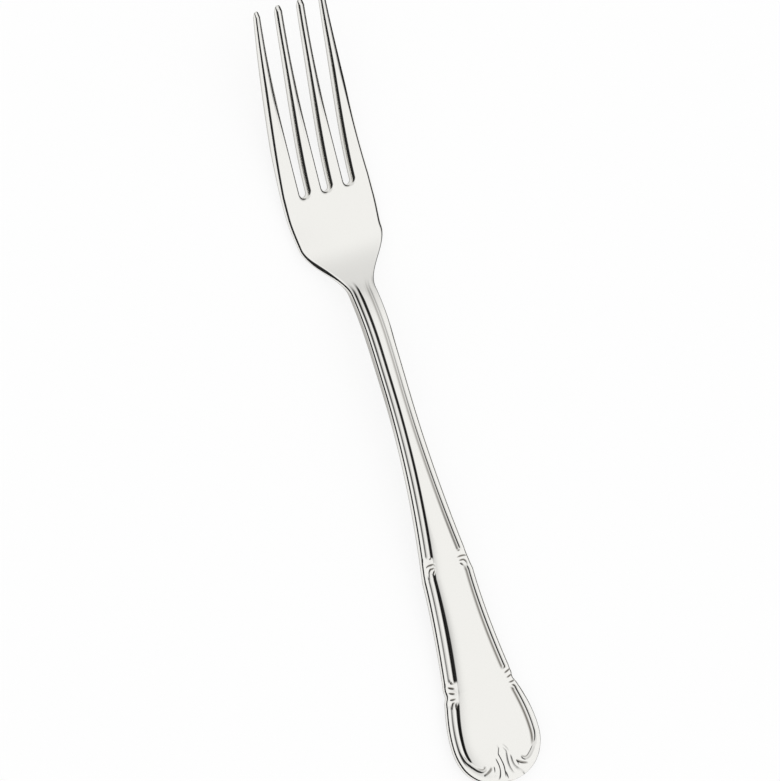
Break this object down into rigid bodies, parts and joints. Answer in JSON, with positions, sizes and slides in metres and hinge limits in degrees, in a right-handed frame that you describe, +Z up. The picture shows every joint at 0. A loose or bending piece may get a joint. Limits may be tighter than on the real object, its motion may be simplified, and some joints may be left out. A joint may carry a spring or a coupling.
{
  "type": "serving fork",
  "caption": "One-piece polished steel serving fork with long tapered tines, a plain palm, and a flared handle with a double-thread border, ribbon ties and a palmette",
  "frame": {"origin": "on the table under the middle of the fork, which lies on its back", "axes": "+Y along the fork towards the tine tips, +X to the fork's right, +Z up, out of its face"},
  "size_m": [0.03, 0.245, 0.018],
  "materials": {
    "steel": "mirror-polished stainless steel"
  },
  "bodies": {
    "root": {"tine_1": "steel", "tine_2": "steel", "tine_3": "steel", "tine_4": "steel", "palm": "steel", "neck": "steel", "stem": "steel", "handle": "steel"}
  },
  "joints": []
}
